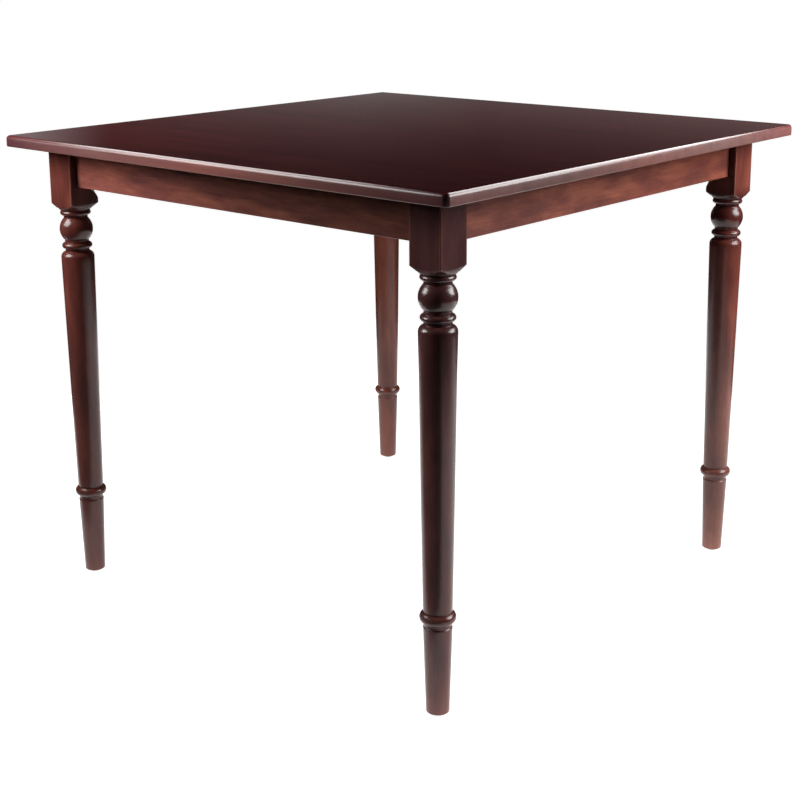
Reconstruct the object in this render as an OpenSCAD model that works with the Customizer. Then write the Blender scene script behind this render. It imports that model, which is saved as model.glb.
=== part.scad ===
// Square dining table with a thin rounded top, four aprons and four turned legs, in millimetres.
// The origin is on the floor under the middle of the top, +Z is up and the front side faces -Y.
// Each leg is drawn with its inner corner towards +X and +Y, and is then turned to its own corner.

/* [Overall] */
// Side of the square top
table_side = 914.4; // [800:0.1:1100]
// Height of the top face above the floor
table_h = 750; // [720:1:780]

/* [Top] */
// Thickness of the top
top_t = 18; // [16:0.5:30]
// Radius of the rounded upper edge
top_edge_r = 6; // [3:0.5:7]
// Radius that eases the lower edge
top_under_r = 1.5; // [0.5:0.25:3]
// Radius of each corner of the top, seen from above
top_corner_r = 8; // [7.5:0.5:30]
// Distance from the edge of the top to the face of a leg
top_overhang = 48; // [20:1:80]

/* [Aprons] */
// Height of an apron
apron_h = 64; // [60:1:80]
// Thickness of an apron
apron_t = 19; // [17:0.5:22]
// How far an apron lies behind the face of a leg block
apron_setback = 13.5; // [6:0.5:16]
// Radius that eases the two lower edges of an apron
apron_edge_r = 1; // [0.5:0.25:2]

/* [Leg block] */
// Side of the square block at the top of a leg
block_side = 54; // [53:1:70]
// Length of the block, from the top of the leg to where the turning starts
block_len = 95; // [90:1:130]
// Radius that eases the upright edges of the block
block_edge_r = 1.5; // [0.5:0.25:3]
// Height of the sloped shoulder that turns the corners of the block away
shoulder_h = 6; // [4:0.5:10]
// How far the chamfer on the inner corner reaches along each face
chamfer_cut = 20; // [14:0.5:22]
// Length of the full chamfer, from the top of the leg
chamfer_len = 65.5; // [62:0.5:69]
// Height over which the chamfer runs out to the corner
runout_h = 20; // [12:0.5:24]

/* [Upper turning] */
// Radius of the thin collar under the block
collar_r = 26; // [25:0.5:27]
// Height of the collar
collar_h = 1.5; // [1:0.25:3]
// Radius of the groove between the collar and the upper bead
groove_r = 23.4; // [21:0.2:24]
// Depth of the middle of the upper bead below the block
upper_bead_drop = 13.6; // [12.5:0.2:15]
// Radius of the leg at the upper bead
upper_bead_r = 24.5; // [24.2:0.1:27]
// Radius of the round section of the upper bead
upper_bead_round = 4.2; // [3.6:0.1:4.6]
// Radius of the necks between the beads and the ball
neck_r = 19.2; // [17:0.2:20]
// Depth of the middle of the ball below the block
ball_drop = 40.5; // [39:0.5:42]
// Radius of the leg at the ball
ball_r = 26.7; // [25:0.1:28]
// Radius of the round section of the ball
ball_round = 25.4; // [24.5:0.1:26]
// Depth of the middle of the lower bead below the block
lower_bead_drop = 68; // [66.5:0.5:69.5]
// Radius of the leg at the lower bead
lower_bead_r = 24.2; // [23.2:0.1:26]
// Radius of the round section of the lower bead
lower_bead_round = 4.9; // [4.2:0.1:5.4]

/* [Shaft and foot] */
// Depth of the top of the shaft below the block
shaft_drop = 77.7; // [76:0.1:84]
// Radius of the shaft at its top
shaft_top_r = 26.7; // [24:0.1:28]
// Radius that rounds the top of the shaft
shaft_round = 9.5; // [8.5:0.25:12]
// Radius of the shaft at its lower end
shaft_end_r = 20.7; // [19.8:0.1:24]
// Height of the middle of the ankle ring above the floor
ankle_z = 145; // [110:1:180]
// Radius of the leg at the ankle ring
ankle_r = 25.9; // [24.5:0.1:30]
// Radius of the round section of the ankle ring
ankle_round = 8; // [6:0.25:9]
// Radius of the grooves above and below the ankle ring
ankle_groove_r = 19.3; // [18.2:0.1:19.6]
// Height of the groove above the ankle ring
ankle_groove_top = 2; // [1:0.25:4]
// Height of the groove below the ankle ring
ankle_groove_low = 5.5; // [3:0.25:8]
// Radius of the foot at its top
foot_top_r = 20.6; // [20.2:0.1:24]
// Radius of the foot at the floor end
foot_end_r = 16.6; // [14:0.1:19]
// Width of the eased edges of the foot
foot_ease = 1; // [0.5:0.25:2]

/* [Glides] */
// Radius of the nylon glide under a foot
glide_r = 11; // [9:0.5:13]
// Height of a glide
glide_h = 2.5; // [2.2:0.1:4]
// Radius of the nail of a glide
nail_r = 1.25; // [0.9:0.05:1.6]
// Radius of the nail's head inside the glide
nail_head_r = 4; // [3:0.25:5]
// Height of the nail's head
nail_head_h = 0.8; // [0.5:0.1:1]
// Nylon below the nail's head
glide_floor = 0.8; // [0.6:0.1:1]
// Chamfer round the bottom of a glide
glide_ease = 0.6; // [0.3:0.1:1]
// Length of the nail inside the leg
nail_len = 15; // [10:1:22]

/* [Corner joints] */
// Thickness of a corner block
corner_block_t = 24; // [22:0.5:28]
// Height of a corner block
corner_block_h = 56; // [54:1:60]
// Gap between the chamfer of a leg and its corner block
corner_gap = 3; // [2.5:0.25:5]
// Radius of a hanger bolt
bolt_r = 4; // [3:0.25:4.25]
// Length of a hanger bolt inside the leg
bolt_wood_len = 34; // [25:1:40]
// Length of a hanger bolt past its nut
bolt_end_len = 6; // [3:0.5:12]
// Pitch of the bolt's coarse thread, inside the leg
coarse_pitch = 3.5; // [2.5:0.1:4.5]
// Pitch of the bolt's fine thread, outside the leg
fine_pitch = 1.25; // [1:0.05:1.75]
// Distance between the two bolts of a leg
bolt_spacing = 32; // [28:1:34]
// Radius of a flat washer
washer_r = 8; // [7.5:0.25:8.5]
// Thickness of a flat washer
washer_t = 1.6; // [1:0.2:2.4]
// Radius of a spring washer
spring_washer_r = 7.2; // [6.5:0.1:7.5]
// Thickness of a spring washer
spring_washer_t = 2; // [1.4:0.2:2.6]
// Width of the split in a spring washer
spring_split = 1.2; // [0.6:0.2:2]
// Width of a hexagon nut across its flats
nut_flats = 13; // [12:0.5:14]
// Height of a hexagon nut
nut_h = 6.5; // [5:0.5:8]

/* [Wood screws] */
// Radius of a wood screw over its thread
screw_r = 2; // [1.5:0.1:2.4]
// Length of a wood screw under its head
screw_len = 30; // [25:1:31]
// Radius of a wood screw's head
screw_head_r = 4; // [3.2:0.1:4.2]
// Height of a wood screw's head
screw_head_h = 2.4; // [1.8:0.1:3]
// Height of the straight rim of the head
screw_rim_h = 0.8; // [0.4:0.1:1.2]
// Radius of the flat on the head
screw_flat_r = 2.6; // [2.4:0.1:3]
// Length of the cross slot in the head
cross_len = 4; // [3:0.2:4.6]
// Width of the cross slot
cross_w = 0.9; // [0.6:0.1:1.2]
// Depth of the cross slot
cross_depth = 1.4; // [1:0.1:1.7]
// Pitch of a wood screw's thread
screw_pitch = 1.8; // [1.4:0.1:2.4]
// Wood beside the sunk seat of a screw in a corner block
seat_margin = 1; // [0.5:0.25:2]
// Wood of a corner block under the head of a screw
corner_grip = 15; // [13:0.5:16]
// Distance between the two screws at one end of a corner block
corner_screw_spacing = 16; // [12:1:18]

/* [Cleats] */
// Side of the square section of a cleat
cleat_side = 18; // [17:0.5:22]
// Length of a cleat
cleat_len = 80; // [70:5:140]
// Chamfer on the free lower edge of a cleat
cleat_ease = 3; // [1:0.5:4]
// Distance from the middle of a cleat to a screw into the apron
cleat_side_screw_x = 12; // [8:1:16]
// Distance from the middle of a cleat to a screw into the top
cleat_top_screw_x = 28; // [24:1:32]

/* [Clearances] */
// Clearance round a thread in the wood or the nut that holds it
thread_gap = 0.05; // [0.02:0.01:0.1]
// Depth of a thread
thread_depth = 0.6; // [0.3:0.1:0.8]
// Clearance round a bolt in its corner block and washers
bolt_gap = 0.5; // [0.3:0.1:0.7]
// Clearance round the sunk head of a screw
head_gap = 0.5; // [0.3:0.1:1]
// Depth of a blind hole past the tip of what it holds
tip_gap = 0.5; // [0.2:0.1:1]

/* [Hidden] */
$fn = 96;

// How far a cut reaches past the face that it opens
over = 1;

// Heights
leg_top = table_h - top_t;
block_z = leg_top - block_len;
shoulder_z = block_z - shoulder_h;
collar_z = shoulder_z - collar_h;
upper_bead_z = block_z - upper_bead_drop;
ball_z = block_z - ball_drop;
lower_bead_z = block_z - lower_bead_drop;
shaft_top_z = block_z - shaft_drop;
shaft_end_z = ankle_z + ankle_round + ankle_groove_top;
foot_top_z = ankle_z - ankle_round - ankle_groove_low;
apron_z = leg_top - apron_h;

// Places in plan: the legs' axes and the faces of the aprons
leg_xy = table_side / 2 - top_overhang - block_side / 2;
apron_out = table_side / 2 - top_overhang - apron_setback;
apron_in = apron_out - apron_t;
apron_len = 2 * leg_xy - block_side;

// Seen from a leg's axis: the inner face of an apron, the chamfer and the two faces of the corner block,
// the last three measured along the diagonal
apron_face = leg_xy - apron_in;
corner_r = block_side / sqrt(2);
chamfer_d = (block_side - chamfer_cut) / sqrt(2);
corner_near_d = chamfer_d + corner_gap;
corner_far_d = corner_near_d + corner_block_t;
bolt_end_d = corner_far_d + washer_t + spring_washer_t + nut_h + bolt_end_len;

// Places of the fixings
corner_mid_z = leg_top - corner_block_h / 2;
bolt_zs = [corner_mid_z - bolt_spacing / 2, corner_mid_z + bolt_spacing / 2];
corner_screw_zs = [corner_mid_z - corner_screw_spacing / 2, corner_mid_z + corner_screw_spacing / 2];
head_hole_r = screw_head_r + head_gap;
corner_screw_x = corner_far_d * sqrt(2) - seat_margin - head_hole_r - apron_face - corner_grip;
cleat_mid_z = leg_top - cleat_side / 2;
cleat_mid_y = apron_in - cleat_side / 2;

wood = "#4b2a25";
dark_wood = "#38201e";
plain_wood = "#a5794f";
zinc = "#b9bcbf";
nylon = "#2a2422";

// Placing: corners 0 to 3 and sides 0 to 3 go round anticlockwise from the front left corner and the front
module at_corner(k) {
    rotate(90 * k) translate([-leg_xy, -leg_xy, 0]) children();
}

module at_side(k) {
    rotate(90 * k) children();
}

// From a leg's axis, +Z of the children points along the diagonal to the middle of the table, at height z
module along_diagonal(z) {
    rotate(45) translate([0, 0, z]) rotate([0, 90, 0]) children();
}

// From a leg's axis, the two places of screws at each end of a corner block, +Z pointing out of the head
module at_corner_screws() {
    for (z = corner_screw_zs) {
        translate([corner_screw_x, apron_face + corner_grip, z]) rotate([-90, 0, 0]) children();
        translate([apron_face + corner_grip, corner_screw_x, z]) rotate([0, 90, 0]) children();
    }
}

// The screws of one cleat, +Z pointing out of the head, drawn for the front side
module at_cleat_side_screws() {
    for (s = [-1, 1])
        translate([s * cleat_side_screw_x, cleat_side - apron_in, cleat_mid_z])
            rotate([-90, 0, 0]) children();
}

module at_cleat_top_screws() {
    for (s = [-1, 1])
        translate([s * cleat_top_screw_x, -cleat_mid_y, leg_top - cleat_side])
            rotate([180, 0, 0]) children();
}

// Sections
module eased_square(side, r) {
    square([side, side - 2 * r], center = true);
    square([side - 2 * r, side], center = true);
    for (x = [-1, 1], y = [-1, 1])
        translate([x * (side / 2 - r), y * (side / 2 - r)]) circle(r);
}

module top_section() {
    half = table_side / 2;
    translate([-half, top_under_r]) square([table_side, top_t - top_under_r - top_edge_r]);
    translate([top_edge_r - half, top_under_r]) square([table_side - 2 * top_edge_r, top_t - top_under_r]);
    translate([top_under_r - half, 0]) square([table_side - 2 * top_under_r, 2 * top_under_r]);
    for (s = [-1, 1]) {
        translate([s * (half - top_edge_r), top_t - top_edge_r]) circle(top_edge_r);
        translate([s * (half - top_under_r), top_under_r]) circle(top_under_r);
    }
}

module apron_section() {
    translate([0, apron_edge_r]) square([apron_t, apron_h - apron_edge_r]);
    translate([apron_edge_r, 0]) square([apron_t - 2 * apron_edge_r, 2 * apron_edge_r]);
    for (y = [apron_edge_r, apron_t - apron_edge_r])
        translate([y, apron_edge_r]) circle(apron_edge_r);
}

// A stretch of a turned profile with one radius, from height z0 to z1
module band(z0, z1, r) {
    translate([0, z0]) square([r, z1 - z0]);
}

// A round bead of a turned profile that swells to radius r at height z
module bead(z, r, round) {
    translate([r - round, z]) circle(round);
}

// Points of a ridged thread from height z0 to z1
function thread(z0, z1, r, pitch) =
    let (n = floor((z1 - z0) / pitch))
    [for (i = [0:n - 1]) each [[r - thread_depth, z0 + i * pitch], [r, z0 + (i + 0.5) * pitch]]];

module leg_profile() {
    shaft_round_x = shaft_top_r - shaft_round;
    shaft_round_z = shaft_top_z - sqrt(pow(shaft_round, 2) - pow(neck_r - shaft_round_x, 2));

    // From the collar down through the beads and the ball to the rounded top of the shaft
    band(collar_z, shoulder_z + over, collar_r);
    band(upper_bead_z, collar_z, groove_r);
    band(shaft_round_z, upper_bead_z, neck_r);
    bead(upper_bead_z, upper_bead_r, upper_bead_round);
    bead(lower_bead_z, lower_bead_r, lower_bead_round);
    intersection() {
        bead(ball_z, ball_r, ball_round);
        band(lower_bead_z, upper_bead_z, ball_r + over);
    }
    intersection() {
        bead(shaft_round_z, shaft_top_r, shaft_round);
        band(shaft_round_z, shaft_top_z + over, shaft_top_r + over);
    }

    // The tapered shaft, the ankle ring between its grooves and the foot
    polygon([
        [0, shaft_end_z], [shaft_end_r, shaft_end_z], [shaft_top_r, shaft_round_z], [0, shaft_round_z]
    ]);
    band(foot_top_z, shaft_end_z, ankle_groove_r);
    bead(ankle_z, ankle_r, ankle_round);
    polygon([
        [0, glide_h], [foot_end_r - foot_ease, glide_h], [foot_end_r, glide_h + foot_ease],
        [foot_top_r, foot_top_z - foot_ease], [foot_top_r - foot_ease, foot_top_z], [0, foot_top_z]
    ]);
}

module leg_block() {
    intersection() {
        translate([0, 0, shoulder_z]) linear_extrude(shoulder_h + block_len)
            eased_square(block_side, block_edge_r);
        rotate_extrude() polygon([
            [0, shoulder_z], [collar_r, shoulder_z], [corner_r, block_z], [corner_r, leg_top], [0, leg_top]
        ]);
    }
}

// The waste that is cut from the inner corner of the block, drawn across the diagonal
module corner_waste() {
    chamfer_z = leg_top - chamfer_len;
    slope = (corner_r - chamfer_d) / runout_h;
    reach = corner_r + over * slope;
    rotate(45) rotate([90, 0, 0]) translate([0, 0, -corner_r]) linear_extrude(2 * corner_r)
        polygon([
            [chamfer_d, leg_top + over], [chamfer_d, chamfer_z],
            [reach, chamfer_z - runout_h - over], [reach, leg_top + over]
        ]);
}

// Pieces
module leg(k) {
    color(wood) at_corner(k) difference() {
        union() {
            rotate_extrude() leg_profile();
            leg_block();
        }
        corner_waste();
        for (z = bolt_zs)
            along_diagonal(z) translate([0, 0, chamfer_d - bolt_wood_len - tip_gap])
                cylinder(r = bolt_r + thread_gap, h = bolt_wood_len + tip_gap + over);
        translate([0, 0, glide_h - over]) cylinder(r = nail_r + thread_gap, h = nail_len + tip_gap + over);
    }
}

module table_top() {
    color(dark_wood) difference() {
        translate([0, 0, leg_top]) intersection() {
            linear_extrude(top_t) eased_square(table_side, top_corner_r);
            rotate([90, 0, 0]) linear_extrude(table_side, center = true) top_section();
            rotate([90, 0, 90]) linear_extrude(table_side, center = true) top_section();
        }
        for (k = [0:3])
            at_side(k) at_cleat_top_screws() translate([0, 0, -screw_len - tip_gap])
                cylinder(r = screw_r + thread_gap, h = screw_len - cleat_side + tip_gap + over);
    }
}

module apron(k) {
    color(wood) difference() {
        at_side(k) translate([-apron_len / 2, -apron_out, apron_z]) rotate([90, 0, 90])
            linear_extrude(apron_len) apron_section();
        at_side(k) at_cleat_side_screws() translate([0, 0, -screw_len - tip_gap])
            cylinder(r = screw_r + thread_gap, h = screw_len - cleat_side + tip_gap + over);
        for (c = [k, (k + 1) % 4])
            at_corner(c) at_corner_screws() translate([0, 0, -screw_len - tip_gap])
                cylinder(r = screw_r + thread_gap, h = screw_len - corner_grip + tip_gap + over);
    }
}

module corner_block(k) {
    near = corner_near_d * sqrt(2) - apron_face;
    far = corner_far_d * sqrt(2) - apron_face;
    color(plain_wood) at_corner(k) difference() {
        translate([0, 0, leg_top - corner_block_h]) linear_extrude(corner_block_h)
            polygon([[near, apron_face], [far, apron_face], [apron_face, far], [apron_face, near]]);
        for (z = bolt_zs)
            along_diagonal(z) translate([0, 0, corner_near_d - over])
                cylinder(r = bolt_r + bolt_gap, h = corner_block_t + 2 * over);
        at_corner_screws() {
            translate([0, 0, -corner_grip - over])
                cylinder(r = screw_r + thread_gap, h = corner_grip + 2 * over);
            cylinder(r = head_hole_r, h = seat_margin + 2 * head_hole_r + over);
        }
    }
}

module hanger_bolt() {
    rotate_extrude() polygon(concat(
        [[0, chamfer_d - bolt_wood_len]],
        thread(chamfer_d - bolt_wood_len, chamfer_d, bolt_r, coarse_pitch),
        thread(chamfer_d, bolt_end_d, bolt_r, fine_pitch),
        [[bolt_r - thread_depth, bolt_end_d], [0, bolt_end_d]]
    ));
}

module flat_washer() {
    difference() {
        cylinder(r = washer_r, h = washer_t);
        translate([0, 0, -over]) cylinder(r = bolt_r + bolt_gap, h = washer_t + 2 * over);
    }
}

module spring_washer() {
    difference() {
        cylinder(r = spring_washer_r, h = spring_washer_t);
        translate([0, 0, -over]) cylinder(r = bolt_r + bolt_gap, h = spring_washer_t + 2 * over);
        translate([0, -spring_split / 2, -over])
            cube([spring_washer_r + over, spring_split, spring_washer_t + 2 * over]);
    }
}

module hex_nut() {
    corners_r = nut_flats / 2 / cos(30);
    bevel = corners_r - nut_flats / 2;
    difference() {
        intersection() {
            cylinder(r = corners_r, h = nut_h, $fn = 6);
            rotate_extrude() polygon([
                [0, 0], [nut_flats / 2, 0], [corners_r, bevel / 2],
                [corners_r, nut_h - bevel / 2], [nut_flats / 2, nut_h], [0, nut_h]
            ]);
        }
        translate([0, 0, -over]) cylinder(r = bolt_r + thread_gap, h = nut_h + 2 * over);
    }
}

module wood_screw() {
    difference() {
        rotate_extrude() polygon(concat(
            [[0, -screw_len]],
            thread(-screw_len, 0, screw_r, screw_pitch),
            [[screw_r, 0], [screw_head_r, 0], [screw_head_r, screw_rim_h],
             [screw_flat_r, screw_head_h], [0, screw_head_h]]
        ));
        for (a = [0, 90])
            rotate(a) translate([-cross_len / 2, -cross_w / 2, screw_head_h - cross_depth])
                cube([cross_len, cross_w, cross_depth + over]);
    }
}

module cleat(k) {
    color(plain_wood) at_side(k) difference() {
        translate([-cleat_len / 2, -apron_in, leg_top - cleat_side]) rotate([90, 0, 90])
            linear_extrude(cleat_len) polygon([
                [0, 0], [cleat_side - cleat_ease, 0], [cleat_side, cleat_ease],
                [cleat_side, cleat_side], [0, cleat_side]
            ]);
        at_cleat_side_screws() translate([0, 0, -cleat_side - over])
            cylinder(r = screw_r + thread_gap, h = cleat_side + 2 * over);
        at_cleat_top_screws() translate([0, 0, -cleat_side - over])
            cylinder(r = screw_r + thread_gap, h = cleat_side + 2 * over);
    }
}

module glide(k) {
    color(nylon) at_corner(k) difference() {
        rotate_extrude() polygon([
            [0, 0], [glide_r - glide_ease, 0], [glide_r, glide_ease], [glide_r, glide_h], [0, glide_h]
        ]);
        translate([0, 0, glide_floor]) cylinder(r = nail_head_r, h = nail_head_h);
        translate([0, 0, glide_floor]) cylinder(r = nail_r, h = glide_h);
    }
}

module glide_nail() {
    translate([0, 0, glide_floor]) cylinder(r = nail_head_r, h = nail_head_h);
    translate([0, 0, glide_floor]) cylinder(r = nail_r, h = glide_h - glide_floor + nail_len);
}

// The same fixing at both bolts of every leg, standing at distance d along the diagonal
module at_every_bolt(d) {
    for (k = [0:3], z = bolt_zs)
        at_corner(k) along_diagonal(z) translate([0, 0, d]) children();
}

module hanger_bolts() {
    color(zinc) at_every_bolt(0) hanger_bolt();
}

module flat_washers() {
    color(zinc) at_every_bolt(corner_far_d) flat_washer();
}

module spring_washers() {
    color(zinc) at_every_bolt(corner_far_d + washer_t) spring_washer();
}

module hex_nuts() {
    color(zinc) at_every_bolt(corner_far_d + washer_t + spring_washer_t) hex_nut();
}

module corner_block_screws() {
    color(zinc) for (k = [0:3])
        at_corner(k) at_corner_screws() wood_screw();
}

module cleat_side_screws() {
    color(zinc) for (k = [0:3])
        at_side(k) at_cleat_side_screws() wood_screw();
}

module cleat_top_screws() {
    color(zinc) for (k = [0:3])
        at_side(k) at_cleat_top_screws() wood_screw();
}

module glide_nails() {
    color(zinc) for (k = [0:3])
        at_corner(k) glide_nail();
}

table_top();
apron(0);  // front_apron
apron(1);  // right_apron
apron(2);  // back_apron
apron(3);  // left_apron
leg(0);  // front_left_leg
leg(1);  // front_right_leg
leg(2);  // back_right_leg
leg(3);  // back_left_leg
corner_block(0);  // front_left_corner_block
corner_block(1);  // front_right_corner_block
corner_block(2);  // back_right_corner_block
corner_block(3);  // back_left_corner_block
hanger_bolts();
flat_washers();
spring_washers();
hex_nuts();
corner_block_screws();
cleat(0);  // front_cleat
cleat(1);  // right_cleat
cleat(2);  // back_cleat
cleat(3);  // left_cleat
cleat_side_screws();
cleat_top_screws();
glide(0);  // front_left_glide
glide(1);  // front_right_glide
glide(2);  // back_right_glide
glide(3);  // back_left_glide
glide_nails();
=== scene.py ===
import bmesh
import bpy
import numpy as np
from mathutils import Matrix, Vector


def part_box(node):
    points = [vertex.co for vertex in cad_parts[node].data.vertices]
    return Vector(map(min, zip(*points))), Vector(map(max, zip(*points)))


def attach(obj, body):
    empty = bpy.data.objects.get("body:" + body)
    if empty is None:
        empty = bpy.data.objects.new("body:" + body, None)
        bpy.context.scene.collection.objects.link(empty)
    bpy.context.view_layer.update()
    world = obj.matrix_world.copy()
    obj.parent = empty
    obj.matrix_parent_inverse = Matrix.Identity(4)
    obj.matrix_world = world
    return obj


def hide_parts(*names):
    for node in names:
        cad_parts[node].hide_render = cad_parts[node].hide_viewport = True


mm = 0.001  # the sizes of the top and the legs, and values whose names end in Mm, are in millimetres
quarterTurn = np.pi / 2
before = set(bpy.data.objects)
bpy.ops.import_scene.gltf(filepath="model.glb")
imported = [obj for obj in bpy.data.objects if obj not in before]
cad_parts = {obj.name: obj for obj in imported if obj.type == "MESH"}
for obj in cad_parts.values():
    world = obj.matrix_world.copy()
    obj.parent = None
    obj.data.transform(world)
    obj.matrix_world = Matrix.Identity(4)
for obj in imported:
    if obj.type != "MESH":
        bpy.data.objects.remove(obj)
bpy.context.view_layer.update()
print("frame:", len(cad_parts), "pieces")


def srgb(hexColour):
    # Turns a colour as it is written, such as "4a2f2c", into the linear values that a shader takes
    parts = np.array([int(hexColour[i:i + 2], 16) for i in (0, 2, 4)]) / 255
    linear = np.where(parts <= 0.04045, parts / 12.92, ((parts + 0.055) / 1.055) ** 2.4)
    return (*linear.tolist(), 1.0)


def addNode(tree, kind, feeds=None, stops=None, **settings):
    # Adds a node. Each input in feeds gets a value, an output, or a node, whose first output in use then
    # drives it; stops fills a colour ramp, its two ends first
    node = tree.nodes.new(kind)
    for key, value in settings.items():
        setattr(node, key, value)
    for key, value in (feeds or {}).items():
        if isinstance(value, bpy.types.Node):
            value = next(output for output in value.outputs if output.enabled)
        if isinstance(value, bpy.types.NodeSocket):
            tree.links.new(value, node.inputs[key])
        else:
            node.inputs[key].default_value = value
    for number, (place, colour) in enumerate(stops or []):
        ramp = node.color_ramp.elements
        stop = ramp[0] if number == 0 else ramp[-1] if number == 1 else ramp.new(place)
        stop.position = place
        stop.color = colour
    return node


def newMaterial(name):
    # A material with an empty node tree
    material = bpy.data.materials.new(name)
    material.use_nodes = True
    material.node_tree.nodes.clear()
    return material, material.node_tree


# Camera: a long lens a little above the top, looking across the near corner
cameraSet = {
    "place": (1.5865, -1.8463, 1.0450),
    "heading": 40.94,  # degrees to the left of +Y
    "pitch": 13.43,  # degrees down
    "roll": -0.31,
    "lens": 67.1,  # of this and the sensor only the ratio counts
    "sensor": 36.0,
    "shift": -0.125,
}


def makeCamera(spec):
    # Its right lies level, its back points away from what it sees, its up stands on both, and the roll then
    # turns right and up about back
    heading, pitch, roll = np.radians([spec["heading"], spec["pitch"], spec["roll"]])
    right = np.array([np.cos(heading), np.sin(heading), 0.0])
    back = np.array([np.sin(heading) * np.cos(pitch), -np.cos(heading) * np.cos(pitch), np.sin(pitch)])
    up = np.cross(back, right)
    columns = [
        right * np.cos(roll) + up * np.sin(roll),
        up * np.cos(roll) - right * np.sin(roll),
        back,
    ]
    data = bpy.data.cameras.new("camera")
    data.lens = spec["lens"]
    data.sensor_width = spec["sensor"]
    data.shift_y = spec["shift"]
    camera = bpy.data.objects.new("camera", data)
    bpy.context.scene.collection.objects.link(camera)
    camera.matrix_world = Matrix.Translation(spec["place"]) @ Matrix(np.array(columns).T.tolist()).to_4x4()
    bpy.context.scene.camera = camera


makeCamera(cameraSet)
bpy.context.scene.view_settings.view_transform = "Standard"
print("camera at", cameraSet["place"])


# Studio: a white floor inside dark walls that the camera doesn't see
floor = {
    "reach": 60.0,
    "colour": "c4c4c4",  # as the eye sees it
    "throw": "787878",  # and the part of the lamps' light that it throws back up
    "white": (0.90, 1.0),  # its own white, beside the lamps' light, below the table and outside
    "whiteFade": (0.60, 1.05),  # distances from the middle between which it rises
    "bounce": 1.5,  # light that it throws up round each foot
    "bounceFade": (0.02, 0.23),  # distances from the foot between which it falls to nothing
    "footAt": 0.382,  # distance of the feet from the middle, in X and in Y
}

walls = {
    "left": -1.25,
    "right": 1.66,
    "front": -1.45,
    "back": 1.25,
    "height": 3.0,
    "colour": "060606",
    "hazeLevel": 0.42,  # of a pale strip behind the table, which gives the sheen of the far edge
    "hazeFoot": (0.60, 0.80),  # heights between which the strip rises to its full level
    "hazeFade": 0.068,  # height in which it then falls to about a third
    "hazeBack": 1.25,  # distance back at which it is at its full level
    "hazePower": 1.6,  # with which it grows towards that
    "hazeCorner": (-0.80, -1.25, 0.50),  # two places in X between which it grows from the third number to 1
    "glowAt": (-1.25, 0.06, 0.86),  # middle of a faint glow on the left wall, which veils the top's left tip
    "glowReach": 0.34,
    "glowLevel": 0.30,
}

# Low grey card in front that only the lacquer mirrors: its span, place and height, and its levels at foot
# and top
card = {"from": -1.15, "to": 0.80, "at": -0.60, "foot": 0.001, "height": 0.50, "levels": (0.30, 0.0)}

# Soft boxes at both sides, two high strips that only show in the lacquer, along the round edges, and a weak
# light for the back, which the lacquer doesn't mirror
lamps = {
    "rightBox": {"place": (1.42, 0.67, 1.18), "aim": (0.3, 0.2, 0.6), "size": (0.95, 0.8), "watts": 34},
    "leftBox": {"place": (-0.78, -1.20, 1.24), "aim": (-0.3, -0.3, 0.6), "size": (0.80, 0.72), "watts": 25},
    "leftStrip": {"place": (-1.20, -0.45, 1.72), "aim": (0.0, -0.45, 1.50), "size": (1.1, 1.24), "watts": 32,
                  "sheenOnly": True},
    "rightStrip": {"place": (0.60, 1.18, 1.69), "aim": (0.6, 0.0, 1.50), "size": (1.2, 1.34), "watts": 44,
                   "sheenOnly": True},
    "backFill": {"place": (-0.95, 1.05, 0.62), "aim": (0.0, 0.2, 0.55), "size": (0.9, 0.6), "watts": 9,
                 "lightOnly": True},
}


def stageMesh(name, corners, faces, material):
    mesh = bpy.data.meshes.new(name)
    mesh.from_pydata(corners, [], faces)
    mesh.materials.append(material)
    piece = bpy.data.objects.new(name, mesh)
    bpy.context.scene.collection.objects.link(piece)
    return piece


def seenByEye(tree):
    # 1 for camera, glossy and transmission rays, so that lacquer and metal show what the camera sees
    path = addNode(tree, "ShaderNodeLightPath").outputs
    sheen = addNode(tree, "ShaderNodeMath", {0: path["Is Camera Ray"], 1: path["Is Glossy Ray"]},
                    operation="MAXIMUM")
    return addNode(tree, "ShaderNodeMath", {0: sheen, 1: path["Is Transmission Ray"]}, operation="MAXIMUM")


def makeFloor(spec):
    # White painted floor, matt: diffuse light from the lamps, its own white for what the eye sees, and for
    # all other rays the light that it throws up round each foot
    material, tree = newMaterial("mattWhitePaint")
    place = addNode(tree, "ShaderNodeTexCoord").outputs["Object"]
    eye = seenByEye(tree)
    tone = addNode(tree, "ShaderNodeMix", {
        "Factor": eye, "A": srgb(spec["throw"]), "B": srgb(spec["colour"])}, data_type="RGBA")
    paint = addNode(tree, "ShaderNodeBsdfDiffuse", {"Color": tone})
    distance = addNode(tree, "ShaderNodeVectorMath", {0: place}, operation="LENGTH")
    near, far = spec["whiteFade"]
    below, outside = spec["white"]
    white = addNode(tree, "ShaderNodeMapRange", {"Value": distance, "From Min": near, "From Max": far,
                                                 "To Min": below, "To Max": outside})
    foot = (spec["footAt"], spec["footAt"], 0.0)
    quarter = addNode(tree, "ShaderNodeVectorMath", {0: place}, operation="ABSOLUTE")
    fromFoot = addNode(tree, "ShaderNodeVectorMath", {0: quarter, 1: foot}, operation="DISTANCE")
    near, far = spec["bounceFade"]
    bounce = addNode(tree, "ShaderNodeMapRange", {"Value": fromFoot, "From Min": near, "From Max": far,
                                                  "To Min": spec["bounce"], "To Max": 0.0},
                     interpolation_type="SMOOTHSTEP")
    level = addNode(tree, "ShaderNodeMix", {"Factor": eye, "A": bounce, "B": white})
    glow = addNode(tree, "ShaderNodeEmission", {"Strength": level})
    both = addNode(tree, "ShaderNodeAddShader", {0: paint, 1: glow})
    addNode(tree, "ShaderNodeOutputMaterial", {"Surface": both})
    reach = spec["reach"]
    corners = [(-reach, -reach, 0), (reach, -reach, 0), (reach, reach, 0), (-reach, reach, 0)]
    stageMesh("floor", corners, [(0, 1, 2, 3)], material)


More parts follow.
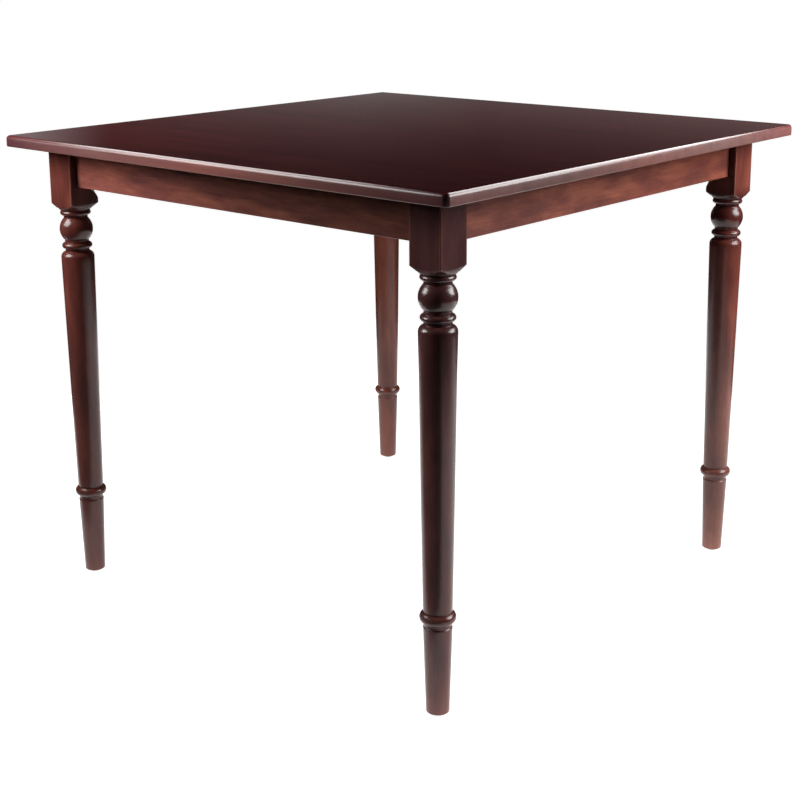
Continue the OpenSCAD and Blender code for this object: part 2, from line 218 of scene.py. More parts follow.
def makeWalls(spec):
    # Dark studio walls and ceiling round the table, unseen by the camera, so that the lacquer stays deep. A
    # pale strip rises between the two heights of hazeFoot and fades above them as exp(-(z - upper) /
    # hazeFade). It grows with the distance back to the power hazePower, and once more towards the left
    # corner. A faint round glow is added to it
    material, tree = newMaterial("mattDarkCloth")
    cloth = addNode(tree, "ShaderNodeBsdfDiffuse", {"Color": srgb(spec["colour"])})
    place = addNode(tree, "ShaderNodeTexCoord").outputs["Object"]
    parts = addNode(tree, "ShaderNodeSeparateXYZ", {0: place}).outputs
    lower, upper = spec["hazeFoot"]
    start = addNode(tree, "ShaderNodeMapRange", {"Value": parts["Z"], "From Min": lower, "From Max": upper,
                                                 "To Max": spec["hazeLevel"]})
    under = addNode(tree, "ShaderNodeMath", {0: upper, 1: parts["Z"]}, operation="SUBTRACT")
    rise = addNode(tree, "ShaderNodeMath", {0: under, 1: 0.0}, operation="MINIMUM")
    share = addNode(tree, "ShaderNodeMath", {0: rise, 1: spec["hazeFade"]}, operation="DIVIDE")
    fall = addNode(tree, "ShaderNodeMath", {0: share}, operation="EXPONENT")
    back = addNode(tree, "ShaderNodeMapRange", {"Value": parts["Y"], "From Max": spec["hazeBack"]})
    behind = addNode(tree, "ShaderNodeMath", {0: back, 1: spec["hazePower"]}, operation="POWER")
    inner, outer, least = spec["hazeCorner"]
    corner = addNode(tree, "ShaderNodeMapRange", {"Value": parts["X"], "From Min": inner, "From Max": outer,
                                                  "To Min": least})
    strip = start
    for factor in (fall, behind, corner):
        strip = addNode(tree, "ShaderNodeMath", {0: strip, 1: factor}, operation="MULTIPLY")
    fromGlow = addNode(tree, "ShaderNodeVectorMath", {0: place, 1: spec["glowAt"]}, operation="DISTANCE")
    glow = addNode(tree, "ShaderNodeMapRange", {"Value": fromGlow, "From Max": spec["glowReach"],
                                                "To Min": spec["glowLevel"], "To Max": 0.0},
                   interpolation_type="SMOOTHSTEP")
    level = addNode(tree, "ShaderNodeMath", {0: strip, 1: glow})
    shown = addNode(tree, "ShaderNodeMath", {0: level, 1: seenByEye(tree)}, operation="MULTIPLY")
    haze = addNode(tree, "ShaderNodeEmission", {"Strength": shown})
    both = addNode(tree, "ShaderNodeAddShader", {0: cloth, 1: haze})
    addNode(tree, "ShaderNodeOutputMaterial", {"Surface": both})
    sides = (("left", "front"), ("right", "front"), ("right", "back"), ("left", "back"))
    corners = [(spec[across], spec[deep], z) for z in (0.0, spec["height"]) for across, deep in sides]
    faces = [(i, (i + 1) % 4, (i + 1) % 4 + 4, i + 4) for i in range(4)] + [(4, 5, 6, 7)]
    stageMesh("studioWalls", corners, faces, material).visible_camera = False


def makeCard(spec):
    # Grey card, paler at its foot
    material, tree = newMaterial("mattGreyCard")
    place = addNode(tree, "ShaderNodeTexCoord").outputs["Object"]
    parts = addNode(tree, "ShaderNodeSeparateXYZ", {0: place}).outputs
    low, high = spec["levels"]
    level = addNode(tree, "ShaderNodeMapRange", {"Value": parts["Z"], "From Max": spec["height"],
                                                 "To Min": low, "To Max": high})
    grey = addNode(tree, "ShaderNodeEmission", {"Strength": level})
    addNode(tree, "ShaderNodeOutputMaterial", {"Surface": grey})
    corners = [(x, spec["at"], z) for z in (spec["foot"], spec["height"]) for x in (spec["from"], spec["to"])]
    piece = stageMesh("lowCard", corners, [(0, 1, 3, 2)], material)
    piece.visible_camera = piece.visible_diffuse = piece.visible_shadow = False


def makeWorld():
    # White wherever the eye looks past the floor, and no light of its own
    world = bpy.data.worlds.new("studio")
    world.use_nodes = True
    tree = world.node_tree
    tree.nodes.clear()
    sky = addNode(tree, "ShaderNodeBackground", {"Color": srgb("ffffff"), "Strength": seenByEye(tree)})
    addNode(tree, "ShaderNodeOutputWorld", {"Surface": sky})
    bpy.context.scene.world = world


def makeLamp(name, spec):
    data = bpy.data.lights.new(name, "AREA")
    data.shape = "RECTANGLE"
    data.size, data.size_y = spec["size"]
    data.energy = spec["watts"]
    lamp = bpy.data.objects.new(name, data)
    bpy.context.scene.collection.objects.link(lamp)
    turn = (Vector(spec["aim"]) - Vector(spec["place"])).to_track_quat("-Z", "Y")
    lamp.matrix_world = Matrix.Translation(spec["place"]) @ turn.to_matrix().to_4x4()
    lamp.visible_camera = False
    lamp.visible_diffuse = not spec.get("sheenOnly", False)
    lamp.visible_glossy = not spec.get("lightOnly", False)


makeFloor(floor)
makeWalls(walls)
makeCard(card)
makeWorld()
for lampName, lampSpec in lamps.items():
    makeLamp(lampName, lampSpec)
print("studio:", len(lamps), "lamps")


# Surfaces
creaseAngle = 40.0  # degrees between two faces above which they meet in a crease
mergeMm = 0.002  # points closer than this are one


def tubeQuads(rows, columns):
    # Quads of a closed tube: each row of points is a ring round the piece, and its columns wrap round
    row, column = np.meshgrid(np.arange(rows - 1), np.arange(columns), indexing="ij")
    after = (column + 1) % columns
    return np.stack([row * columns + column, (row + 1) * columns + column,
                     (row + 1) * columns + after, row * columns + after], -1).reshape(-1, 4)


def sheetQuads(steps):
    # Quads of a square sheet with this many steps each way
    row, column = np.meshgrid(np.arange(steps), np.arange(steps), indexing="ij")
    first = row * (steps + 1) + column
    return np.stack([first, first + 1, first + steps + 2, first + steps + 1], -1).reshape(-1, 4)


def buildMesh(name, points, quads, values):
    # values gives attributes: a number or a vector for each point
    mesh = bpy.data.meshes.new(name)
    mesh.vertices.add(len(points))
    mesh.vertices.foreach_set("co", points.astype(np.float32).ravel())
    mesh.loops.add(quads.size)
    mesh.loops.foreach_set("vertex_index", quads.astype(np.int32).ravel())
    mesh.polygons.add(len(quads))
    mesh.polygons.foreach_set("loop_start", np.arange(0, quads.size, 4, dtype=np.int32))
    mesh.update(calc_edges=True)
    for key, numbers in values.items():
        kind, field = ("FLOAT", "value") if numbers.ndim == 1 else ("FLOAT_VECTOR", "vector")
        layer = mesh.attributes.new(key, kind, "POINT")
        layer.data.foreach_set(field, numbers.astype(np.float32).ravel())
    return mesh


def closeMesh(mesh):
    # Merges points that lie together, which closes poles and corners, then shades smooth apart from the
    # creases
    work = bmesh.new()
    work.from_mesh(mesh)
    bmesh.ops.remove_doubles(work, verts=work.verts, dist=mergeMm * mm)
    work.to_mesh(mesh)
    work.free()
    mesh.polygons.foreach_set("use_smooth", np.ones(len(mesh.polygons), dtype=bool))
    mesh.set_sharp_from_angle(angle=np.radians(creaseAngle))
    mesh.validate()
    mesh.update()


def addPiece(name, mesh, material, node):
    piece = bpy.data.objects.new(name, mesh)
    bpy.context.scene.collection.objects.link(piece)
    mesh.materials.append(material)
    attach(piece, "root")
    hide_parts(node)


def finishNode(node, material):
    # A CAD node keeps its shape and gets this material
    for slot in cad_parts[node].material_slots:
        slot.material = material


# Stained and lacquered wood. Light hardwood, planed and sanded, wiped with a walnut stain, sprayed with
# satin lacquer: dark red brown with soft streaks along the grain, darker in hollows, paler on rubbed edges,
# and a quiet gloss. Where a size has a length and a width, the length runs along the grain
# Painted light and shade lie over this stain piece by piece: factors along each piece, dark strips beside the
# aprons and a paler lower arris on the top
stain = {
    "deep": "3a2120",
    "middle": "6a3c34",
    "bright": "965a48",
    # Dark colour of pores, hollows and the painted shade beside the aprons; pale colour of rubbed edges and
    # of the painted highlight on the top's lower arris
    "hollow": "24100e",
    "rubbed": "966552",
    "hollowMost": 0.75,  # most that the dark colour takes over where the mark is -1: in hollows, and as painted shade in the strips beside the aprons
    "rubbedMost": 0.5,  # and the pale colour, where the mark is 1: rubbed edges, and on the top's lower arris partly a painted highlight
    "rubbedFrom": 0.1,  # value of the mark from which the pale colour shows
    "swayMm": (420.0, 90.0, 9.0),  # length, width and depth of the grain's slow bends
    "swayNoise": {"Detail": 2.0},
    "ringMm": 5.5,  # spacing of the growth rings
    "ringTones": [(0.0, 0.35), (1.0, 0.35), (0.78, 1.0), (0.92, 0.0)],  # by shares of a ring, its ends first
    "fibreMm": (70.0, 1.1),  # length and width of a streak of fibres
    "fibreNoise": {"Detail": 3.0, "Roughness": 0.6},
    "fibreSpan": 0.25,  # of the noise's values, either side of their middle, that the fibres' tones fill
    "cloudMm": (130.0, 20.0),  # clouds where the stain took more or less
    "cloudNoise": {"Detail": 3.0, "Roughness": 0.55},
    "cloudSpan": 0.18,  # and the clouds' tones
    "poreMm": (9.0, 1.0),  # real vessels are 0.3 mm wide, drawn wider so that they show
    "poreFade": (0.12, 0.34),  # distances from a pore's middle, in its widths, between which it fades
    "poreDark": 0.3,  # how far the pores' colour goes to that of the hollows
    "poreDepthMm": 0.03,
    "shares": (0.6, 0.26, 0.14),  # of the clouds, the fibres and the rings in the tone
    "roughness": (0.19, 0.25),
    "sheenSpan": 0.2,  # of the fibres' noise that the roughness follows
    "sideCalm": 0.3,  # share of the pattern that the top's upright sides lose
    "sideDull": 0.2,  # what is added to the roughness on them
    "downFrom": 0.9,  # cosine from which a face looks down and has little lacquer
    "downDull": 0.28,  # and what is added to its roughness
    "ior": 1.5,
    "specular": 0.42,
}
legStain = {**stain, "deep": "502b28", "bright": "824c40", "roughness": (0.20, 0.26), "poreDark": 0.12,
            "cloudMm": (110.0, 30.0), "shares": (0.68, 0.22, 0.10)}
apronStain = {**stain, "deep": "4c2e2c", "middle": "6c3c34", "bright": "884e3e", "cloudMm": (95.0, 24.0),
              "fibreMm": (60.0, 2.4), "swayMm": (200.0, 60.0, 16.0)}
topStain = {**stain, "deep": "4a1f1f", "middle": "743634", "bright": "87403b", "roughness": (0.12, 0.16),
            "ringMm": 16.0, "fibreMm": (150.0, 4.5), "cloudMm": (300.0, 24.0), "cloudSpan": 0.26,
            "swayMm": (420.0, 110.0, 18.0), "shares": (0.60, 0.36, 0.04), "poreDark": 0.0, "poreDepthMm": 0.0}


def perPattern(long, wide):
    # Factors of the coordinates, in metres, that make one unit of a pattern this long and wide, in
    # millimetres
    return 1 / (long * mm), 1 / (wide * mm), 1 / (wide * mm)


def swayedGrain(tree, look, place, turn, shift):
    # Coordinates whose X runs along the grain: turned, moved by shift, as no two boards are alike, and bent
    # across the grain by a slow noise
    board = addNode(tree, "ShaderNodeMapping", {"Vector": place, "Rotation": turn, "Location": shift})
    long, wide, deep = look["swayMm"]
    slow = addNode(tree, "ShaderNodeVectorMath", {0: board, 1: perPattern(long, wide)}, operation="MULTIPLY")
    sway = addNode(tree, "ShaderNodeTexNoise", {"Vector": slow, "Scale": 1.0, **look["swayNoise"]})
    centred = addNode(tree, "ShaderNodeVectorMath", {0: sway.outputs["Color"], 1: (0.5, 0.5, 0.5)},
                      operation="SUBTRACT")
    bend = addNode(tree, "ShaderNodeVectorMath", {0: centred, 1: (0.0, deep * mm, deep * mm)},
                   operation="MULTIPLY")
    return addNode(tree, "ShaderNodeVectorMath", {0: board, 1: bend})


def growthRings(tree, look, grain, pith):
    # Distance from the pith, which lies far off, over the spacing, and its fraction, rising slowly and
    # falling fast
    fromPith = addNode(tree, "ShaderNodeVectorMath", {0: grain, 1: (0.0, *pith)}, operation="SUBTRACT")
    across = addNode(tree, "ShaderNodeVectorMath", {0: fromPith, 1: (0.0, 1.0, 1.0)}, operation="MULTIPLY")
    radius = addNode(tree, "ShaderNodeVectorMath", {0: across}, operation="LENGTH")
    count = addNode(tree, "ShaderNodeMath", {0: radius, 1: look["ringMm"] * mm}, operation="DIVIDE")
    part = addNode(tree, "ShaderNodeMath", {0: count}, operation="FRACT")
    return addNode(tree, "ShaderNodeValToRGB", {"Fac": part},
                   stops=[(at, (tone, tone, tone, 1)) for at, tone in look["ringTones"]])


def fibresCloudsPores(tree, look, grain):
    # Each is a noise, or a field of cells with a dot in the middle, stretched along the grain to its size
    fibreAt, cloudAt, poreAt = [
        addNode(tree, "ShaderNodeVectorMath", {0: grain, 1: perPattern(*look[size])}, operation="MULTIPLY")
        for size in ("fibreMm", "cloudMm", "poreMm")]
    fibre = addNode(tree, "ShaderNodeTexNoise", {"Vector": fibreAt, "Scale": 1.0, **look["fibreNoise"]})
    cloud = addNode(tree, "ShaderNodeTexNoise", {"Vector": cloudAt, "Scale": 1.0, **look["cloudNoise"]})
    cell = addNode(tree, "ShaderNodeTexVoronoi", {"Vector": poreAt, "Scale": 1.0})
    inner, outer = look["poreFade"]
    pore = addNode(tree, "ShaderNodeMapRange", {"Value": cell, "From Min": inner, "From Max": outer,
                                                "To Min": 1.0, "To Max": 0.0},
                   interpolation_type="SMOOTHSTEP")
    return fibre, cloud, pore


def stainColour(tree, look, side, fibre, cloud, ring):
    # Clouds, fibres and rings add up to a tone by their shares, calmer on the top's upright sides
    clouds, fibres, rings = look["shares"]
    tone = addNode(tree, "ShaderNodeMapRange", {
        "Value": cloud, "From Min": 0.5 - look["cloudSpan"], "From Max": 0.5 + look["cloudSpan"],
        "To Max": clouds})
    fibrePart = addNode(tree, "ShaderNodeMapRange", {
        "Value": fibre, "From Min": 0.5 - look["fibreSpan"], "From Max": 0.5 + look["fibreSpan"],
        "To Max": fibres})
    ringPart = addNode(tree, "ShaderNodeMapRange", {"Value": ring, "To Max": rings})
    for part in (fibrePart, ringPart):
        tone = addNode(tree, "ShaderNodeMath", {0: tone, 1: part})
    calm = addNode(tree, "ShaderNodeMath", {0: side, 1: look["sideCalm"]}, operation="MULTIPLY")
    calmed = addNode(tree, "ShaderNodeMix", {"Factor": calm, "A": tone, "B": 0.5})
    return addNode(tree, "ShaderNodeValToRGB", {"Fac": calmed}, stops=[
        (0.0, srgb(look["deep"])), (1.0, srgb(look["bright"])), (0.5, srgb(look["middle"]))])


def paintShading(tree, place, side, depth):
    # Painted light and shade along a piece: the spec gives the way, its two ends, and factors of the colour
    # at shares of the way. The top's upright sides have their own painted shades
    way, start, end, factors = depth
    along = addNode(tree, "ShaderNodeVectorMath", {0: place, 1: way}, operation="DOT_PRODUCT")
    share = addNode(tree, "ShaderNodeMapRange", {"Value": along, "From Min": start, "From Max": end})
    paintedShade = addNode(tree, "ShaderNodeValToRGB", {"Fac": share},
                   stops=[(at, (*factor, 1)) for at, factor in factors])
    # Painted light and shade of the top's upright sides, read from the mesh
    sideTint = addNode(tree, "ShaderNodeAttribute", attribute_name="sideTint").outputs["Vector"]
    return addNode(tree, "ShaderNodeMix", {"Factor": side, "A": paintedShade, "B": sideTint}, data_type="VECTOR")


def poresWearAndPaintedLight(tree, look, colour, pore):
    # Pores, hollows and rubbed edges cover the colour in turn, with painted shade and a painted highlight
    # among them. The mark runs from -1 in a hollow, where stain gathers, and in the painted shade of the
    # strips beside the aprons, towards 1 on an edge that is rubbed, and on the top's lower arris, where the
    # paler line is partly a painted highlight
    wear = addNode(tree, "ShaderNodeAttribute", attribute_name="wear").outputs["Fac"]
    porePart = addNode(tree, "ShaderNodeMapRange", {"Value": pore, "To Max": look["poreDark"]})
    hollowAndShadePart = addNode(tree, "ShaderNodeMapRange", {"Value": wear, "From Min": 0.0, "From Max": -1.0,
                                                      "To Max": look["hollowMost"]})
    rubbedAndHighlightPart = addNode(tree, "ShaderNodeMapRange", {"Value": wear, "From Min": look["rubbedFrom"],
                                                      "From Max": 1.0, "To Max": look["rubbedMost"]})
    for part, cover in ((porePart, "hollow"), (hollowAndShadePart, "hollow"), (rubbedAndHighlightPart, "rubbed")):
        colour = addNode(tree, "ShaderNodeMix", {"Factor": part, "A": colour, "B": srgb(look[cover])},
                         data_type="RGBA")
    return colour


def lacquerRoughness(tree, look, side, fibre):
    # It varies with the fibres, and is higher on the top's upright sides and on faces that look down
    smooth, dull = look["roughness"]
    sheen = addNode(tree, "ShaderNodeMapRange", {
        "Value": fibre, "From Min": 0.5 - look["sheenSpan"], "From Max": 0.5 + look["sheenSpan"],
        "To Min": smooth, "To Max": dull})
    onSides = addNode(tree, "ShaderNodeMath", {0: side, 1: look["sideDull"], 2: sheen},
                      operation="MULTIPLY_ADD")
    facing = addNode(tree, "ShaderNodeNewGeometry").outputs["True Normal"]
    down = addNode(tree, "ShaderNodeVectorMath", {0: facing, 1: (0.0, 0.0, -1.0)}, operation="DOT_PRODUCT")
    below = addNode(tree, "ShaderNodeMapRange", {"Value": down, "From Min": look["downFrom"], "From Max": 1.0,
                                                 "To Max": look["downDull"]})
    return addNode(tree, "ShaderNodeMath", {0: onSides, 1: below})


def stainedWood(name, look, turn, shift, pith, depth):
    material, tree = newMaterial(name)
    place = addNode(tree, "ShaderNodeTexCoord").outputs["Object"]
    side = addNode(tree, "ShaderNodeAttribute", attribute_name="side").outputs["Fac"]
    grain = swayedGrain(tree, look, place, turn, shift)
    fibre, cloud, pore = fibresCloudsPores(tree, look, grain)
    colour = stainColour(tree, look, side, fibre, cloud, growthRings(tree, look, grain, pith))
    # The stain's colour times the painted light and shade
    paintShaded = addNode(tree, "ShaderNodeVectorMath", {0: colour, 1: paintShading(tree, place, side, depth)},
                     operation="MULTIPLY")
    height = addNode(tree, "ShaderNodeMath", {0: pore, 1: -1.0}, operation="MULTIPLY")
    bump = addNode(tree, "ShaderNodeBump", {"Height": height, "Strength": 1.0,
                                            "Distance": look["poreDepthMm"] * mm})
    wood = addNode(tree, "ShaderNodeBsdfPrincipled", {
        "Base Color": poresWearAndPaintedLight(tree, look, paintShaded, pore), "Normal": bump, "IOR": look["ior"],
        "Roughness": lacquerRoughness(tree, look, side, fibre), "Specular IOR Level": look["specular"]})
    addNode(tree, "ShaderNodeOutputMaterial", {"Surface": wood})
    return material


# Top: a flat square slab with a round upper edge and an eased lower edge
topSizes = {
    "edgeRound": 6.0,
    "underRound": 1.5,
    "cornerRound": 8.0,
    "sideSteps": 40,
    "cornerSteps": 8,
    "roundSteps": 10,
    "underSteps": 4,
    "wear": (0.2, 0.7),  # halfway round the upper and the lower edge; the lower edge's paler line is partly a painted highlight
    "sidePower": 4,  # how late on the upper round the sides' painted shades come in
    # Painted light and shade: factors of the colour at even steps along each upright side, anticlockwise from
    # the right one, and at the corner where it ends, the near corner painted darkest
    "sideTints": [
        [(1.0, 2.0, 1.95), (0.7, 1.7, 1.65), (1.05, 2.0, 1.9), (0.92, 2.35, 2.3), (1.05, 1.85, 1.85)],
        [(1.2, 1.6, 1.8), (1.2, 1.5, 1.6)],
        [(1.1, 1.5, 1.6), (0.9, 1.3, 1.5)],
        [(0.40, 0.55, 0.75), (1.10, 2.2, 2.1), (1.35, 2.1, 1.9), (0.72, 1.2, 1.1), (0.42, 0.5, 0.55)]],
    "cornerTints": [(1.2, 1.6, 1.7), (1.2, 1.5, 1.6), (0.7, 0.9, 1.0), (0.14, 0.16, 0.18)],
    "cornerSpread": 2.2,  # above 1 the corner's painted shade holds over more of the corner before it blends
    "turn": (0.0, 0.0, 0.0),
    "shift": (0.13, 0.21, 0.05),
    "pith": (0.31, 0.42),
    # Painted shade on the flat, darkest at the front right corner and lighter towards the back left one: way,
    # ends, and factors along it
    "depth": ((-0.707, 0.707, 0.0), -0.6, 0.6, [
        (0.0, (0.30, 0.22, 0.28)), (1.0, (0.95, 0.74, 0.80)),
        (0.25, (0.40, 0.30, 0.36)), (0.75, (0.85, 0.66, 0.72))]),
}


def makeTop(spec):
    # Each ring is the plan's rounded square drawn in by an inset: the corner arc keeps its centre and its
    # radius is cornerRound - inset. The edge profile gives inset and height: a quarter circle of edgeRound
    # above, a straight side, and a quarter circle of underRound below. A square sheet closes each flat face
    low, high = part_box("table_top")
    half = high.x
    plan = spec["cornerRound"] * mm
    upper, under = spec["edgeRound"] * mm, spec["underRound"] * mm
    turnUp = np.linspace(0, quarterTurn, spec["roundSteps"] + 1)
    turnDown = np.linspace(0, quarterTurn, spec["underSteps"] + 1)
    inset = np.concatenate([[plan], upper * (1 - np.sin(turnUp)), under * (1 - np.cos(turnDown)), [plan]])
    z = np.concatenate([[high.z], high.z - upper * (1 - np.cos(turnUp)),
                        low.z + under * (1 - np.sin(turnDown)), [low.z]])

    along = np.linspace(-1, 1, spec["sideSteps"] + 1)[1:-1]
    bendAngles = np.linspace(0, quarterTurn, spec["cornerSteps"] + 1)
    centre = half - plan
    baseX, baseY, outX, outY, tints = [], [], [], [], []
    for quarter in range(4):
        # The right side and the corner arc after it, turned by this many quarters
        c, s = np.cos(quarter * quarterTurn), np.sin(quarter * quarterTurn)
        px = np.full(len(along) + len(bendAngles), centre)
        py = np.concatenate([along * centre, np.full(len(bendAngles), centre)])
        nx = np.concatenate([np.ones(len(along)), np.cos(bendAngles)])
        ny = np.concatenate([np.zeros(len(along)), np.sin(bendAngles)])
        baseX.append(c * px - s * py)
        baseY.append(s * px + c * py)
        outX.append(c * nx - s * ny)
        outY.append(s * nx + c * ny)
        stops = np.array(spec["sideTints"][quarter])
        places = np.linspace(-1, 1, len(stops))
        tints.append(np.stack([np.interp(along, places, channel) for channel in stops.T], 1))
        # The corner's own painted shade holds over its middle and blends into the sides at its two ends
        middle = np.clip(spec["cornerSpread"] * np.sin(2 * bendAngles), 0, 1)[:, None]
        after = np.array(spec["sideTints"][(quarter + 1) % 4][0])
        ends = np.where(bendAngles[:, None] < quarterTurn / 2, stops[-1], after)
        tints.append(ends * (1 - middle) + np.array(spec["cornerTints"][quarter]) * middle)
    baseX, baseY, outX, outY, tints = map(np.concatenate, (baseX, baseY, outX, outY, tints))
    reach = (plan - inset)[:, None]
    around = np.ones(len(baseX))
    points = np.stack([baseX + reach * outX, baseY + reach * outY, z[:, None] * around], -1).reshape(-1, 3)
    quads = tubeQuads(len(z), len(baseX))
    steps = spec["sideSteps"]
    line = np.linspace(-centre, centre, steps + 1)
    y, x = np.meshgrid(line, line, indexing="ij")
    for height, order in ((high.z, 1), (low.z, -1)):
        quads = np.concatenate([quads, sheetQuads(steps)[:, ::order] + len(points)])
        points = np.concatenate([points, np.stack([x, y, np.full_like(x, height)], -1).reshape(-1, 3)])

    # Wear rises to its value halfway round each edge and falls again, on the lower edge partly a painted
    # highlight; side is 1 on the upright sides and 0 on the flats
    upperWear, underWear = spec["wear"]
    wear = np.concatenate([[0.0], upperWear * np.sin(2 * turnUp), underWear * np.sin(2 * turnDown), [0.0]])
    side = np.concatenate([[0.0], np.sin(turnUp) ** spec["sidePower"], np.cos(turnDown), [0.0]])
    flats = np.zeros(2 * x.size)
    mesh = buildMesh("tableTop", points, quads, {
        "wear": np.concatenate([np.repeat(wear, len(baseX)), flats]),
        "side": np.concatenate([np.repeat(side, len(baseX)), flats]),
        "sideTint": np.concatenate([np.tile(tints, (len(z), 1)), flats[:, None] * np.ones(3)]),
    })
    closeMesh(mesh)
    return mesh


topWood = stainedWood("stainedTopWood", topStain, topSizes["turn"], topSizes["shift"], topSizes["pith"],
                      topSizes["depth"])
topMesh = makeTop(topSizes)
addPiece("tableTopSlab", topMesh, topWood, "table_top")
print("top:", len(topMesh.polygons), "faces")


# Legs: a square block with a chamfer on its inner corner, then collar, beads, ball, tapered shaft, ankle
# ring and foot, turned from one piece. Heights are measured up from the floor, and a pair is a radius and a
# height
leg = {
    "blockHalf": 27.0,
    "blockRound": 1.5,
    "blockFoot": 637.0,
    "shoulderFoot": 631.0,
    "shoulderReach": 42.0,  # radius to which the shoulder's cone is drawn, past the corners of the block
    "chamfer": 24.04,  # from the axis to the flat of the chamfer
    "chamferFoot": 666.5,
    "runout": 20.0,  # height in which the chamfer runs out to the corner
    "collar": (26.0, 629.5),
    "grooveRadius": 23.4,
    "neckRadius": 19.2,
    "upperBead": (24.5, 623.4, 4.2),  # outermost radius, height, radius of the round
    "ball": (26.7, 596.5, 25.4),
    "lowerBead": (24.2, 569.0, 4.9),
    "shaftTop": (26.7, 550.01, 9.5),
    "shaftEnd": (20.7, 155.0),
    "ankleGroove": 19.3,
    "ankle": (25.9, 145.0, 8.0),
    "footTop": (20.6, 131.5),
    "footEnd": (16.6, 2.5),
    "ease": 1.0,
    "softening": 0.35,  # how far sanding and lacquer round each crease of the turning
    "blockSoft": 0.3,  # width of the softened line between block and chamfer
    "shoulderSoft": 0.4,  # and between block and shoulder
    "broad": 3.0,  # reach of the mean that stands for the turning's broad shape
    "wearDepth": 1.5,  # how far the turning lies behind that where wear is -1
    "proudWear": 0.2,  # share of the wear that the beads get, as they keep most of their stain
    # The block's upright edges are rubbed in rows wider than edgeWearFrom: the wear starts this many
    # radians from where their round starts, and is full after so many more
    "edgeWearFrom": 32.4,
    "edgeWear": (-0.03, 0.05),
    "strip": (73.0, 13.0),  # degrees from the inner corner to the strips of painted shade by the aprons, and half their width
    "outside": 60.0,  # a radius past everything
    "chamferReach": 1.2,  # radians from the inner corner within which the chamfer is worked out
}

# How finely the leg is divided
legGrid = {
    "fine": 0.1,  # length of the steps in which the profile is first followed
    "arcSteps": 40,
    "ballSteps": 60,
    "rowTurn": 9.0,  # degrees that the profile turns from one row to the next
    "rowGap": 14.0,
    "blockRows": 5,
    "runoutRows": 8,
    "endGap": 8.0,  # from the upper end to the next row
    "chamferGap": 0.5,  # above the foot of the chamfer
    "shoulderGap": 2.0,  # above the first row of the turning
    "leastFlat": 3.0,  # degrees, each side of its middle, of a flat face's columns on the round parts
    "flatShares": (0.0, 0.5, 0.93, 1.0),
    "cornerShares": (0.05, 0.15, 0.29, 0.43, 0.57, 0.71, 0.85, 1.0),
}


def beadArc(bead, neckAbove, neckBelow, steps):
    # The circle of a bead from where it leaves the neck above to where it meets the neck below
    radius, z, bend = bead
    x = radius - bend
    start = np.arccos((neckAbove - x) / bend)
    end = -np.arccos((neckBelow - x) / bend)
    angle = np.linspace(start, end, steps)
    return np.stack([x + bend * np.cos(angle), z + bend * np.sin(angle)], 1)


def turnedProfile(spec, steps, ballSteps):
    # Radius and height down the turning, as straight runs and arcs, in millimetres
    neck, groove, ease = spec["neckRadius"], spec["ankleGroove"], spec["ease"]
    collarRadius, collarFoot = spec["collar"]
    slope = (spec["blockHalf"] * np.sqrt(2) - collarRadius) / (spec["blockFoot"] - spec["shoulderFoot"])
    wide = spec["shoulderReach"]
    coneTop = spec["shoulderFoot"] + (wide - collarRadius) / slope
    footRadius, footZ = spec["footTop"]
    endRadius, endZ = spec["footEnd"]
    return np.concatenate([
        [[wide, coneTop], [collarRadius, spec["shoulderFoot"]], [collarRadius, collarFoot]],
        [[spec["grooveRadius"], collarFoot]],
        beadArc(spec["upperBead"], spec["grooveRadius"], neck, steps),
        beadArc(spec["ball"], neck, neck, ballSteps),
        beadArc(spec["lowerBead"], neck, neck, steps),
        beadArc(spec["shaftTop"], neck, spec["shaftTop"][0], steps),
        [spec["shaftEnd"], [groove, spec["shaftEnd"][1]]],
        beadArc(spec["ankle"], groove, groove, steps),
        [[groove, footZ], [footRadius - ease, footZ], [footRadius, footZ - ease]],
        [[endRadius, endZ + ease], [endRadius - ease, endZ], [0.0, endZ]],
    ])


def evenly(line, step):
    # Points every step along a broken line
    length = np.concatenate([[0], np.cumsum(np.hypot(*np.diff(line, axis=0).T))])
    at = np.linspace(0, length[-1], int(length[-1] / step) + 1)
    return np.stack([np.interp(at, length, line[:, k]) for k in (0, 1)], 1)


def blurred(line, sigma):
    # A Gaussian mean along the line, its ends held
    reach = int(4 * sigma) + 1
    weight = np.exp(-0.5 * (np.arange(-reach, reach + 1) / sigma) ** 2)
    padded = np.pad(line, ((reach, reach), (0, 0)), mode="reflect", reflect_type="odd")
    return np.stack([np.convolve(padded[:, k], weight / weight.sum(), "valid") for k in (0, 1)], 1)


def legRows(spec, divide):
    # Rows of the turning: the softened profile, thinned so that each step turns or runs only so far. The
    # last lies on the axis
    step = divide["fine"]
    fine = evenly(turnedProfile(spec, divide["arcSteps"], divide["ballSteps"]), step)
    soft = blurred(fine, spec["softening"] / step)
    broad = blurred(fine, spec["broad"] / step)
    heading = np.unwrap(np.arctan2(*np.diff(soft, axis=0).T))
    turned = np.concatenate([[0, 0], np.cumsum(np.abs(np.diff(heading)))])
    run = np.arange(len(soft)) * step
    measure = turned / np.radians(divide["rowTurn"]) + run / divide["rowGap"]
    keep = np.searchsorted(measure, np.arange(0, measure[-1], 1.0))
    keep = np.unique(np.concatenate([keep, [len(soft) - 1]]))
    rows = soft[keep]
    rows[-1, 0] = 0.0
    # Wear: how far the turning stands proud of, or lies behind, its broad shape; none under the foot
    wear = np.clip((soft[keep, 0] - broad[keep, 0]) / spec["wearDepth"], -1, 1)
    wear = np.where(wear > 0, spec["proudWear"] * wear, wear)
    wear[-3:] = 0
    return rows, wear


def softMin(a, b, width):
    # The lesser of two lengths, with the crease where they cross rounded over that width
    share = np.clip(0.5 + 0.5 * (b - a) / width, 0, 1)
    return b * (1 - share) + a * share - width * share * (1 - share)


def fromFace(angle):
    # Angle from the middle of the nearest flat face
    return np.abs((angle + quarterTurn / 2) % quarterTurn - quarterTurn / 2)


